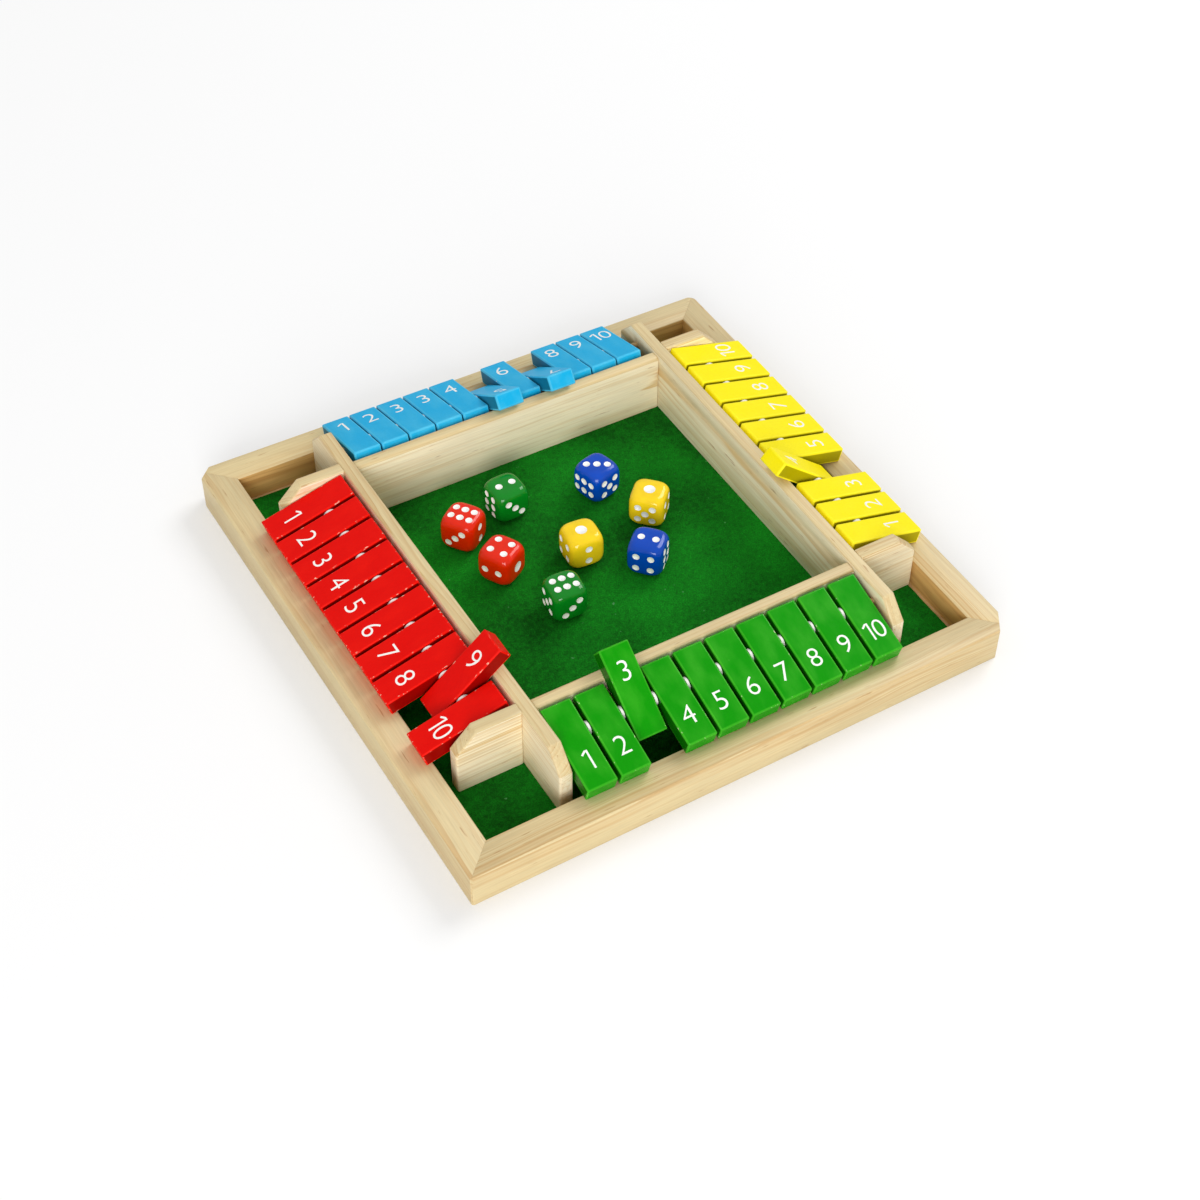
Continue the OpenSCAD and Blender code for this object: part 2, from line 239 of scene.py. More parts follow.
def pine(name, early, late, ring, rough=0.42, bold=0.0, sway=0.010):
    """Knot-free pine, planed, sanded and given one sparing coat of clear lacquer: cream wood with
    warm ring lines that wander slowly, fine tan streaks and silky fibre along the grain, and
    short resin flecks. A bolder board shows more of its rings and streaks."""
    def make(tree):
        grain = add(tree, "Attribute", out="Vector", attribute_name="grain")
        wide = add(tree, "Mapping", {"Vector": grain, "Scale": (5, 24, 24)})
        wander = add(tree, "TexNoise", {"Vector": wide, "Scale": 1, "Detail": 2})
        fine = add(tree, "Mapping", {"Vector": grain, "Scale": (25, 200, 200)})
        shiver = add(tree, "TexNoise", {"Vector": fine, "Scale": 1, "Detail": 2})
        across = add(tree, "VectorMath", {0: grain, 1: (0, 1, 1)}, operation="MULTIPLY")
        radius = add(tree, "VectorMath", {0: across}, out="Value", operation="LENGTH")
        radius = add(tree, "Math", {0: wander, 1: sway, 2: radius}, operation="MULTIPLY_ADD")
        radius = add(tree, "Math", {0: shiver, 1: 0.0010, 2: radius}, operation="MULTIPLY_ADD")
        turns = add(tree, "Math", {0: radius, 1: ring}, operation="DIVIDE")
        years = add(tree, "Math", {0: turns, 1: 0.45}, operation="MULTIPLY")
        years = add(tree, "TexNoise", {"W": years, "Scale": 1}, noise_dimensions="1D")
        turns = add(tree, "Math", {0: years, 1: 3.0, 2: turns}, operation="MULTIPLY_ADD")
        phase = add(tree, "Math", {0: turns}, operation="FRACT")
        year = add(tree, "Math", {0: turns}, operation="FLOOR")
        year = add(tree, "TexWhiteNoise", {"W": year}, noise_dimensions="1D")
        year = add(tree, "ValToRGB", {0: year}, stops=[(0.1, 0.25 + bold), (0.9, 1.0)])
        rings = add(tree, "ValToRGB", {0: phase},
                    stops=[(0.0, 0.04), (0.3, 0.1), (0.74, 0.7), (0.88, 1.0), (0.97, 0.06)])
        calm = add(tree, "Mapping", {"Vector": grain, "Scale": (7, 70, 70)})
        calm = add(tree, "ValToRGB", {0: add(tree, "TexNoise", {"Vector": calm, "Scale": 1})},
                   stops=[(0.36 - bold / 2, 0.1 + bold), (0.62 - bold / 2, 1.0)])
        share = add(tree, "Math", {0: rings, 1: calm}, operation="MULTIPLY")
        share = add(tree, "Math", {0: share, 1: year}, operation="MULTIPLY")
        colour = add(tree, "Mix", {0: share, 6: linear(early), 7: linear(late)}, out=2, **MIX)
        lines = add(tree, "Mapping", {"Vector": grain, "Scale": (9, 420, 420)})
        lines = add(tree, "TexNoise", {"Vector": lines, "Scale": 1, "Detail": 2})
        lines = add(tree, "ValToRGB", {0: lines}, stops=[(0.50, 0.0), (0.68, 0.25 + bold)])
        colour = add(tree, "Mix", {0: lines, 6: colour, 7: linear(late)}, out=2, **MIX)
        thread = add(tree, "Mapping", {"Vector": grain, "Scale": (60, 1400, 1400)})
        fibre = add(tree, "TexNoise", {"Vector": thread, "Scale": 1, "Detail": 3, "Roughness": 0.6})
        tone = add(tree, "ValToRGB", {0: fibre}, stops=[(0.3, 0.90), (0.7, 1.04)])
        colour = add(tree, "Mix", {0: 1.0, 6: colour, 7: tone}, out=2, **TIMES)
        short = add(tree, "Mapping", {"Vector": grain, "Scale": (70, 700, 700)})
        fleck = add(tree, "ValToRGB", {0: add(tree, "TexNoise", {"Vector": short, "Scale": 1})},
                    stops=[(0.68, 0.0), (0.75, 0.6)])
        colour = add(tree, "Mix", {0: fleck, 6: colour, 7: linear("#A8763F")}, out=2, **MIX)
        broad = add(tree, "Mapping", {"Vector": grain, "Scale": (14, 40, 40)})
        cloud = add(tree, "ValToRGB", {0: add(tree, "TexNoise", {"Vector": broad, "Scale": 1})},
                    stops=[(0.35, 0.94), (0.65, 1.03)])
        colour = add(tree, "Mix", {0: 1.0, 6: colour, 7: cloud}, out=2, **TIMES)
        return {
            "Base Color": colour, "Coat Weight": 0.12, "Coat Roughness": 0.35,
            "Roughness": add(tree, "Math", {0: fibre, 1: 0.18, 2: rough}, operation="MULTIPLY_ADD"),
            "Normal": add(tree, "Bump", {"Height": fibre, "Distance": 0.05 * MM, "Strength": 0.35}),
        }
    return surface(name, make)


def enamel(name, colour, pale, gloss, wear):
    """Brushed enamel on a softwood block: even strong colour, with a painted sheen in pale clouds
    and a painted highlight on the eased edges, painted shade on the long sides that face a
    neighbour, a broken soft gloss, and a few specks of bare filler where the edges have rubbed."""
    def make(tree):
        place = add(tree, "Attribute", out="Vector", attribute_name="grain")
        edge = add(tree, "Attribute", out="Fac", attribute_name="edge")
        side = add(tree, "Attribute", out="Fac", attribute_name="side")
        wide = add(tree, "Mapping", {"Vector": place, "Scale": (60, 110, 110)})
        cloud = add(tree, "TexNoise", {"Vector": wide, "Scale": 1, "Detail": 2})
        # painted sheen: pale clouds of colour, plus a painted highlight along the eased edges,
        # stand in for the lamps' soft reflections
        painted_sheen = add(tree, "ValToRGB", {0: cloud}, stops=[(0.42, 0.0), (0.72, 0.35)])
        painted_sheen = add(tree, "Math", {0: edge, 1: 0.5, 2: painted_sheen}, operation="MULTIPLY_ADD")
        base = add(tree, "Mix", {0: painted_sheen, 6: linear(colour), 7: linear(pale)}, out=2, **MIX)
        tight = add(tree, "Mapping", {"Vector": place, "Scale": (700, 1000, 1000)})
        grit = add(tree, "TexNoise", {"Vector": tight, "Scale": 1, "Detail": 2})
        tone = add(tree, "ValToRGB", {0: grit}, stops=[(0.3, 0.95), (0.65, 1.0)])
        base = add(tree, "Mix", {0: 1.0, 6: base, 7: tone}, out=2, **TIMES)
        # painted shade: the long sides that face a neighbour are darkened, for the shade that falls
        # between the tiles
        shut = add(tree, "ValToRGB", {0: side}, stops=[(0.0, 1.0), (1.0, 0.4)])
        base = add(tree, "Mix", {0: 1.0, 6: base, 7: shut}, out=2, **TIMES)
        chips = add(tree, "Mapping", {"Vector": place, "Scale": (300, 800, 800)})
        chips = add(tree, "TexNoise", {"Vector": chips, "Scale": 1, "Detail": 2, "Roughness": 0.65})
        chips = add(tree, "Math", {0: edge, 1: wear, 2: chips}, operation="MULTIPLY_ADD")
        rub = add(tree, "ValToRGB", {0: chips}, stops=[(0.80, 0.0), (0.84, 0.6)])
        base = add(tree, "Mix", {0: rub, 6: base, 7: linear("#E6DDBE")}, out=2, **MIX)
        relief = add(tree, "Bump", {"Height": cloud, "Distance": 0.12 * MM, "Strength": 0.6})
        relief = add(tree, "Bump", {"Height": grit, "Distance": 0.02 * MM, "Strength": 0.5,
                                    "Normal": relief})
        return {
            "Base Color": base, "Specular IOR Level": 0.1, "Normal": relief,
            "Roughness": add(tree, "Math", {0: cloud, 1: 0.25, 2: gloss}, operation="MULTIPLY_ADD"),
        }
    return surface(name, make)


def printed_white(name, colour, rough):
    """White enamel, screened on the tiles or pooled in the pips, a little uneven in thickness."""
    def make(tree):
        place = add(tree, "TexCoord", out="Object")
        film = add(tree, "TexNoise", {"Vector": place, "Scale": 1200, "Detail": 2})
        tone = add(tree, "ValToRGB", {0: film}, stops=[(0.3, 0.93), (0.6, 1.0)])
        base = add(tree, "Mix", {0: 1.0, 6: linear(colour), 7: tone}, out=2, **TIMES)
        return {"Base Color": base, "Roughness": rough, "Coat Weight": 0.1}
    return surface(name, make)


def wool_felt(name, colour, light):
    """Pressed wool felt: short matted fibres with a faint sheen, and cloudy patches a few
    centimetres across, painted sheen where the nap lies another way and catches the light."""
    def make(tree):
        place = add(tree, "TexCoord", out="Object")
        cloud = add(tree, "TexNoise", {"Vector": place, "Scale": 15, "Detail": 2, "Roughness": 0.5})
        mat = add(tree, "TexNoise", {"Vector": place, "Scale": 420, "Detail": 3, "Roughness": 0.7})
        lint = add(tree, "TexNoise",
                   {"Vector": place, "Scale": 1500, "Detail": 2, "Roughness": 0.7})
        half = add(tree, "Math", {0: mat, 1: 0.4}, operation="MULTIPLY")
        # painted sheen: the nap's cloudy patches are mixed towards the lighter colour
        nap = add(tree, "Math", {0: cloud, 1: 0.7, 2: half}, operation="MULTIPLY_ADD")
        nap = add(tree, "ValToRGB", {0: nap}, stops=[(0.40, 0.0), (0.72, 1.0)])
        base = add(tree, "Mix", {0: nap, 6: linear(colour), 7: linear(light)}, out=2, **MIX)
        tone = add(tree, "ValToRGB", {0: lint}, stops=[(0.32, 0.5), (0.68, 1.4)])
        base = add(tree, "Mix", {0: 1.0, 6: base, 7: tone}, out=2, **TIMES)
        fluff = add(tree, "TexNoise", {"Vector": place, "Scale": 330})
        fluff = add(tree, "ValToRGB", {0: fluff}, stops=[(0.74, 0.0), (0.8, 0.5)])
        base = add(tree, "Mix", {0: fluff, 6: base, 7: linear("#6FB27A")}, out=2, **MIX)
        relief = add(tree, "Bump", {"Height": mat, "Distance": 0.25 * MM, "Strength": 0.7})
        relief = add(tree, "Bump", {"Height": lint, "Distance": 0.12 * MM, "Strength": 0.7,
                                    "Normal": relief})
        return {"Base Color": base, "Roughness": 0.95, "Sheen Weight": 0.12, "Sheen Roughness": 0.5,
                "Sheen Tint": linear("#3FA04A"), "Specular IOR Level": 0.1, "Normal": relief}
    return surface(name, make)


def veneer(name, colour):
    """Birch plywood, its face veneer peeled from the log and lightly sanded: broad faint
    figure and short fine fibres."""
    def make(tree):
        place = add(tree, "TexCoord", out="Object")
        wide = add(tree, "Mapping", {"Vector": place, "Scale": (3, 22, 22)})
        figure = add(tree, "TexNoise", {"Vector": wide, "Scale": 1, "Detail": 2, "Distortion": 1.5})
        bands = add(tree, "Math", {0: add(tree, "Math", {0: figure, 1: 9.0}, operation="MULTIPLY")},
                    operation="FRACT")
        bands = add(tree, "ValToRGB", {0: bands}, stops=[(0.2, 0.0), (0.8, 0.45), (1.0, 0.0)])
        thread = add(tree, "Mapping", {"Vector": place, "Scale": (50, 1200, 1200)})
        fibre = add(tree, "TexNoise", {"Vector": thread, "Scale": 1, "Detail": 3})
        base = add(tree, "Mix", {0: bands, 6: linear(colour), 7: linear("#B88E58")}, out=2, **MIX)
        tone = add(tree, "ValToRGB", {0: fibre}, stops=[(0.3, 0.88), (0.7, 1.05)])
        return {"Base Color": add(tree, "Mix", {0: 1.0, 6: base, 7: tone}, out=2, **TIMES),
                "Roughness": 0.6,
                "Normal": add(tree, "Bump", {"Height": fibre, "Distance": 0.06 * MM,
                                             "Strength": 0.5})}
    return surface(name, make)


def dowel(name, colour):
    """Bare beech dowel, drawn through a die: close grain with small darker flecks."""
    def make(tree):
        place = add(tree, "TexCoord", out="Object")
        fleck = add(tree, "TexNoise", {"Vector": place, "Scale": 500, "Detail": 3})
        share = add(tree, "ValToRGB", {0: fleck}, stops=[(0.35, 0.0), (0.65, 1.0)])
        return {"Base Color": add(tree, "Mix", {0: share, 6: linear(colour), 7: linear("#A88455")},
                                  out=2, **MIX),
                "Roughness": 0.55,
                "Normal": add(tree, "Bump", {"Height": fleck, "Distance": 0.03 * MM,
                                             "Strength": 0.4})}
    return surface(name, make)


def nylon(name):
    """Injection-moulded white nylon: milky, with a faint satin grain."""
    def make(tree):
        place = add(tree, "TexCoord", out="Object")
        grain = add(tree, "TexNoise", {"Vector": place, "Scale": 1600, "Detail": 2})
        return {"Base Color": add(tree, "Mix", {0: grain, 6: linear("#F8F7F2"),
                                                7: linear("#E8E6DE")}, out=2, **MIX),
                "Roughness": 0.4,
                "Normal": add(tree, "Bump", {"Height": grain, "Distance": 0.01 * MM,
                                             "Strength": 0.4})}
    return surface(name, make)


def resin(name, colour):
    """Cast resin, tumbled to a polish: deep even colour, clear highlights, hair-fine scuffs."""
    def make(tree):
        place = add(tree, "TexCoord", out="Object")
        swirl = add(tree, "TexNoise", {"Vector": place, "Scale": 160, "Detail": 2})
        streak = add(tree, "Mapping", {"Vector": place, "Scale": (1100, 300, 700)})
        scuff = add(tree, "TexNoise", {"Vector": streak, "Scale": 1, "Detail": 3, "Roughness": 0.7})
        tone = add(tree, "ValToRGB", {0: swirl}, stops=[(0.35, 0.95), (0.65, 1.04)])
        base = add(tree, "Mix", {0: 1.0, 6: linear(colour), 7: tone}, out=2, **TIMES)
        return {"Base Color": base,
                "Roughness": add(tree, "ValToRGB", {0: scuff}, stops=[(0.35, 0.06), (0.75, 0.14)]),
                "Specular IOR Level": 0.3, "Coat Weight": 0.1, "Coat Roughness": 0.03,
                "Normal": add(tree, "Bump", {"Height": swirl, "Distance": 0.02 * MM,
                                             "Strength": 0.3})}
    return surface(name, make)


# Modelling ---------------------------------------------------------------

def only(*pieces):
    """Leaves edit mode and selects just these objects, the first one active."""
    if bpy.context.object and bpy.context.object.mode != "OBJECT":
        bpy.ops.object.mode_set(mode="OBJECT")
    bpy.ops.object.select_all(action="DESELECT")
    for piece in pieces:
        piece.select_set(True)
    if pieces:
        bpy.context.view_layer.objects.active = pieces[0]


def block(name, low, high):
    """A block between two corners."""
    only()
    low, high = Vector(low), Vector(high)
    bpy.ops.mesh.primitive_cube_add(size=1)
    piece = bpy.context.object
    piece.name = piece.data.name = name
    bpy.ops.object.mode_set(mode="EDIT")
    bpy.ops.mesh.select_all(action="SELECT")
    bpy.ops.transform.resize(value=high - low)
    bpy.ops.transform.translate(value=(low + high) / 2)
    bpy.ops.object.mode_set(mode="OBJECT")
    return piece


def pin(name, radius, low, high):
    """A round pin between two points, to bore with."""
    only()
    low, high = Vector(low), Vector(high)
    bpy.ops.mesh.primitive_cylinder_add(vertices=32, radius=radius, depth=(high - low).length)
    piece = bpy.context.object
    piece.name = name
    turn = UP.rotation_difference(high - low).to_matrix().to_4x4()
    piece.data.transform(Matrix.Translation((low + high) / 2) @ turn)
    return piece


def saw(piece, point, normal):
    """Cuts a piece by a plane and keeps what is behind it."""
    point, normal = Vector(point), Vector(normal).normalized()
    if max((v.co - point).dot(normal) for v in piece.data.vertices) < 1e-7:
        return
    only(piece)
    bpy.ops.object.mode_set(mode="EDIT")
    bpy.ops.mesh.select_all(action="SELECT")
    bpy.ops.mesh.bisect(plane_co=point, plane_no=normal, use_fill=True, clear_outer=True)
    bpy.ops.object.mode_set(mode="OBJECT")


def ease(piece, width, segments, wanted):
    """Rounds the edges whose two ends satisfy a test."""
    only(piece)
    bpy.ops.object.mode_set(mode="EDIT")
    bpy.ops.mesh.select_mode(type="EDGE")
    bpy.ops.mesh.select_all(action="DESELECT")
    bpy.ops.object.mode_set(mode="OBJECT")
    points = [v.co for v in piece.data.vertices]
    for edge in piece.data.edges:
        edge.select = wanted(points[edge.vertices[0]], points[edge.vertices[1]])
    bpy.ops.object.mode_set(mode="EDIT")
    bpy.ops.mesh.bevel(offset=width, offset_type="OFFSET", segments=segments, affect="EDGES")
    bpy.ops.object.mode_set(mode="OBJECT")


def crisp(piece, width):
    """A fine round on every edge that is still sharp."""
    only(piece)
    bevel = piece.modifiers.new("crisp", "BEVEL")
    bevel.width, bevel.segments = width, 2
    bevel.limit_method, bevel.angle_limit = "ANGLE", math.radians(30)
    bpy.ops.object.modifier_apply(modifier=bevel.name)


def carve(piece, *tools):
    """Cuts closed tools out of a piece and uses them up."""
    for tool in tools:
        only(piece)
        cut = piece.modifiers.new("carve", "BOOLEAN")
        cut.object, cut.operation, cut.solver = tool, "DIFFERENCE", "EXACT"
        cut.material_mode = "TRANSFER"
        bpy.ops.object.modifier_apply(modifier=cut.name)
        bpy.data.objects.remove(tool, do_unlink=True)


def twin(piece, name):
    """A copy with a mesh of its own."""
    made = piece.copy()
    made.data = piece.data.copy()
    made.name = made.data.name = name
    bpy.context.collection.objects.link(made)
    return made


def joined(name, *pieces):
    """Several pieces as one."""
    only(*pieces)
    bpy.ops.object.join()
    pieces[0].name = pieces[0].data.name = name
    return pieces[0]


def smooth(piece, angle=35):
    """Smooth shading across edges flatter than an angle in degrees."""
    only(piece)
    bpy.ops.object.shade_smooth_by_angle(angle=math.radians(angle))


def note(piece, name, values):
    """Stores a number or a vector for each point of a mesh."""
    vector = hasattr(values[0], "__len__")
    layer = piece.data.attributes.new(name, "FLOAT_VECTOR" if vector else "FLOAT", "POINT")
    layer.data.foreach_set("vector" if vector else "value",
                           [x for v in values for x in v] if vector else values)


def lay_grain(piece, chance, heart, along=0):
    """Grain coordinates: first along the fibres, then the two away from the tree's heart."""
    axes = [along] + [a for a in (0, 1, 2) if a != along]
    turn = chance.uniform(0, 2 * math.pi)
    shift = (chance.uniform(0, 5), heart * math.cos(turn), heart * math.sin(turn))
    note(piece, "grain", [[v.co[a] + s for a, s in zip(axes, shift)]
                          for v in piece.data.vertices])


def hand_over(piece, body, slot, nodes, *materials):
    """Gives a finished piece its materials and its body, and hides the nodes it stands for; its
    slot is not used.
    """
    if materials:
        piece.data.materials.clear()
        for material in materials:
            piece.data.materials.append(material)
    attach(piece, body)
    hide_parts(*nodes)


class GAME_OT_rim(Operator):
    """Model the four mitred rails of the rim."""
    bl_idname = "game.rim"
    bl_label = "Rim"

    def rail(self, wood, name, length, chance):
        """One rail as if for the front: long along X, outer face at y = 0."""
        w, h = wood.rail_width, wood.rail_height
        piece = block(name, (-length / 2, 0, 0), (length / 2, w, h))
        carve(piece, block("rabbet", (-length, w - wood.lip, -h), (length, 2 * w, wood.rabbet)))
        ease(piece, wood.ease, 4,
             lambda a, b: min(a.z, b.z) > h - NEAR and abs(a.x - b.x) > w)
        ease(piece, wood.ease / 2, 2,
             lambda a, b: max(a.z, b.z, a.y, b.y) < NEAR and abs(a.x - b.x) > w)
        for side in (-1, 1):
            saw(piece, (side * length / 2, 0, 0), (side, 1, 0))
        lay_grain(piece, chance, heart=0.05)
        return piece

    def execute(self, context):
        wood = context.scene.game_wood
        low, high = CAD_BOX
        x, y = high[0], high[1]
        spots = {"front": (0, -y, 2 * x), "right": (90, -x, 2 * y),
                 "back": (180, -y, 2 * x), "left": (270, -x, 2 * y)}
        chance = random.Random(11)
        radius = wood.corner_round
        round_at = Vector((x - radius, y - radius, 0))
        cuts = [(Vector((wood.arris - x, -y, 0)), Vector((-1, -1, 0))),
                (Vector((x - wood.flat_front, -y, 0)),
                 Vector((wood.flat_side, -wood.flat_front, 0))),
                (Vector((wood.flat_left - x, y, 0)), Vector((-1, 1, 0)))]
        facets = 10
        for step in range(1, facets):
            angle = step * math.pi / (2 * facets)
            out = Vector((math.cos(angle), math.sin(angle), 0))
            cuts.append((round_at + radius * out, out))
        clear = pine("lacquered_pine", wood.early, wood.late, wood.ring)
        inner_wall_wood = pine("inner_wall_pine", wood.inside, "#B88546", wood.ring, 0.6, 0.25)
        for side, (turn, out, length) in spots.items():
            rail = self.rail(wood, "rail_" + side + "_wood", length, chance)
            rail.data.transform(Matrix.Rotation(math.radians(turn), 4, "Z")
                                @ Matrix.Translation((0, out, 0)))
            for point, normal in cuts:
                saw(rail, point, normal)
            crisp(rail, wood.seam)
            smooth(rail)
            hand_over(rail, "tray", "pine", ["rail_" + side], clear, inner_wall_wood)
            inward = Matrix.Rotation(math.radians(turn), 3, "Z") @ Vector((0, 1, 0))
            # inward faces take the darker, browner copy of the pine
            for face in rail.data.polygons:
                face.material_index = int(face.normal.dot(inward) > 0.9)
        return {"FINISHED"}


class GAME_OT_base(Operator):
    """Finish the base panel, the rods and the washers."""
    bl_idname = "game.base"
    bl_label = "Base, rods and washers"

    def execute(self, context):
        wood = context.scene.game_wood
        for node, material in (("base_panel", veneer("birch_plywood", wood.panel)),
                               ("rods", dowel("beech_dowel", wood.rod)),
                               ("washers", nylon("moulded_nylon"))):
            mesh = frame["nodes"][node].data
            mesh.materials.clear()
            mesh.materials.append(material)
        return {"FINISHED"}


class GAME_OT_felt(Operator):
    """Lay the felt in the tray."""
    bl_idname = "game.felt"
    bl_label = "Felt"

    def execute(self, context):
        cloth = context.scene.game_felt
        low, high = (Vector(corner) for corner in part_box("felt"))
        width, depth, thick = high - low
        only()
        bpy.ops.mesh.primitive_grid_add(x_subdivisions=110, y_subdivisions=110, size=1)
        felt = bpy.context.object
        felt.name = felt.data.name = "felt_cloth"
        rim = 0.4999  # the grid runs from -0.5 to 0.5
        for v in felt.data.vertices:
            across, along = v.co.x, v.co.y
            v.co = Vector((across * width, along * depth, high.z))
            if max(abs(across), abs(along)) > rim:
                wander = noise.noise(Vector((across, along, 0)) * 40 + Vector((7, 3, 1)))
                pull = cloth.ragged * (0.5 + 0.5 * wander)
                v.co.x -= math.copysign(pull, v.co.x) if abs(across) > rim else 0
                v.co.y -= math.copysign(pull, v.co.y) if abs(along) > rim else 0
            v.co.z -= thick * (0.04 + 0.04 * noise.noise(Vector((across, along, 3)) * 60))
        only(felt)
        thicken = felt.modifiers.new("thickness", "SOLIDIFY")
        thicken.thickness, thicken.offset = 0.9 * thick, -1
        bpy.ops.object.modifier_apply(modifier=thicken.name)
        for v in felt.data.vertices:
            v.co.z = max(v.co.z, low.z)
        smooth(felt)
        hand_over(felt, "tray", "green_felt", ["felt"],
                  wool_felt("pressed_wool_felt", cloth.colour, cloth.light))
        return {"FINISHED"}


class GAME_OT_lattice(Operator):
    """Model the dividers and cheeks that stand on the felt."""
    bl_idname = "game.lattice"
    bl_label = "Lattice"

    def board(self, wood, name, start, end, height, slopes):
        """An upright board along X whose marked ends slope."""
        half = wood.board / 2
        piece = block(name, (start, -half, 0), (end, half, height))
        for wanted, at, out in zip(slopes, (start, end), (-1, 1)):
            if wanted:
                saw(piece, (at, 0, height - wood.slope_height),
                    (out * wood.slope_height, 0, wood.slope_length))
        ease(piece, wood.ease_board, 4, lambda a, b: abs(a.y) > half - NEAR
             and a.y * b.y > 0 and max(a.z, b.z) > height - wood.slope_height - NEAR)
        return piece

    def execute(self, context):
        wood = context.scene.game_wood
        chance = random.Random(23)
        clear = pine("lacquered_pine", wood.early, wood.late, wood.ring)
        # a paler copy of the pine for the upright faces: painted light
        pale = pine("lacquered_pine_painted_light", wood.board_early, wood.board_late, wood.ring,
                    bold=0.12, sway=0.005)
        low, high = (Vector(corner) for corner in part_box("long_dividers"))
        cross_low, cross_high = (Vector(corner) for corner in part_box("cross_dividers"))
        cheek_low, cheek_high = (Vector(corner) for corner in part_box("cheeks"))
        quarter = Matrix.Rotation(math.radians(90), 4, "Z")
        height = high.z - low.z
        rods = {name[5:]: Vector(joint["pos_m"]) for name, joint in JOINTS.items()
                if name.startswith("flip_")}
        bore = wood.rod_hole / 2
        boards = []
        for i, x in enumerate((low.x + wood.board / 2, high.x - wood.board / 2)):
            piece = self.board(wood, "long_divider", low.y, high.y, height, (1, 1))
            piece.data.transform(Matrix.Translation((x, 0, low.z)) @ quarter)
            inner = x + wood.board / 2 * (1 if i == 0 else -1)
            deep = inner - wood.socket * (1 if i == 0 else -1)
            for tile in ("green_1", "blue_1"):
                y, z = rods[tile].y, rods[tile].z
                carve(piece, pin("bore", bore, (2 * inner - deep, y, z), (deep, y, z)))
            lay_grain(piece, chance, heart=0.11, along=1)
            boards.append(piece)
        long_pair = joined("long_dividers_wood", *boards)
        boards = []
        for y in (cross_low.y + wood.board / 2, cross_high.y - wood.board / 2):
            tall = cross_high.z - low.z
            piece = block("cross_divider", (cross_low.x, -wood.board / 2, 0),
                          (cross_high.x, wood.board / 2, tall))
            ease(piece, wood.rounding, 6, lambda a, b: min(a.z, b.z) > tall - NEAR
                 and abs(a.x - b.x) > MM)
            ease(piece, wood.ease_end, 3, lambda a, b: abs(a.x - b.x) < MM / 100
                 and max(a.z, b.z) > MM)
            lay_grain(piece, chance, heart=0.11)
            piece.data.transform(Matrix.Translation((0, y, low.z)))
            boards.append(piece)
        cross_pair = joined("cross_dividers_wood", *boards)
        boards = []
        for i, x in enumerate((cheek_low.x, cheek_high.x)):
            back = i * (cheek_high.y - cross_high.y)
            for j, y in enumerate((cross_low.y + wood.board / 2, cross_high.y - wood.board / 2)):
                y += back
                start = x + wood.arm * (1 if i == 0 else -1)
                piece = self.board(wood, "cheek", min(x, start), max(x, start), height,
                                   (i == 0, i == 1))
                piece.data.transform(Matrix.Translation((0, y, low.z)))
                at = rods["red_1" if i == 0 else "yellow_1"]
                inner = y + wood.board / 2 * (1 if j == 0 else -1)
                deep = inner - wood.socket * (1 if j == 0 else -1)
                carve(piece, pin("bore", bore, (at.x, 2 * inner - deep, at.z),
                                 (at.x, deep, at.z)))
                lay_grain(piece, chance, heart=0.11)
                boards.append(piece)
        cheeks = joined("cheeks_wood", *boards)
        for piece, node in ((long_pair, "long_dividers"), (cross_pair, "cross_dividers"),
                            (cheeks, "cheeks")):
            crisp(piece, wood.seam)
            smooth(piece)
            hand_over(piece, "tray", "pine", [node], clear, pale)
            # upright faces take the paler copy: painted light on the walls
            for face in piece.data.polygons:
                face.material_index = int(abs(face.normal.z) < 0.3)
        return {"FINISHED"}


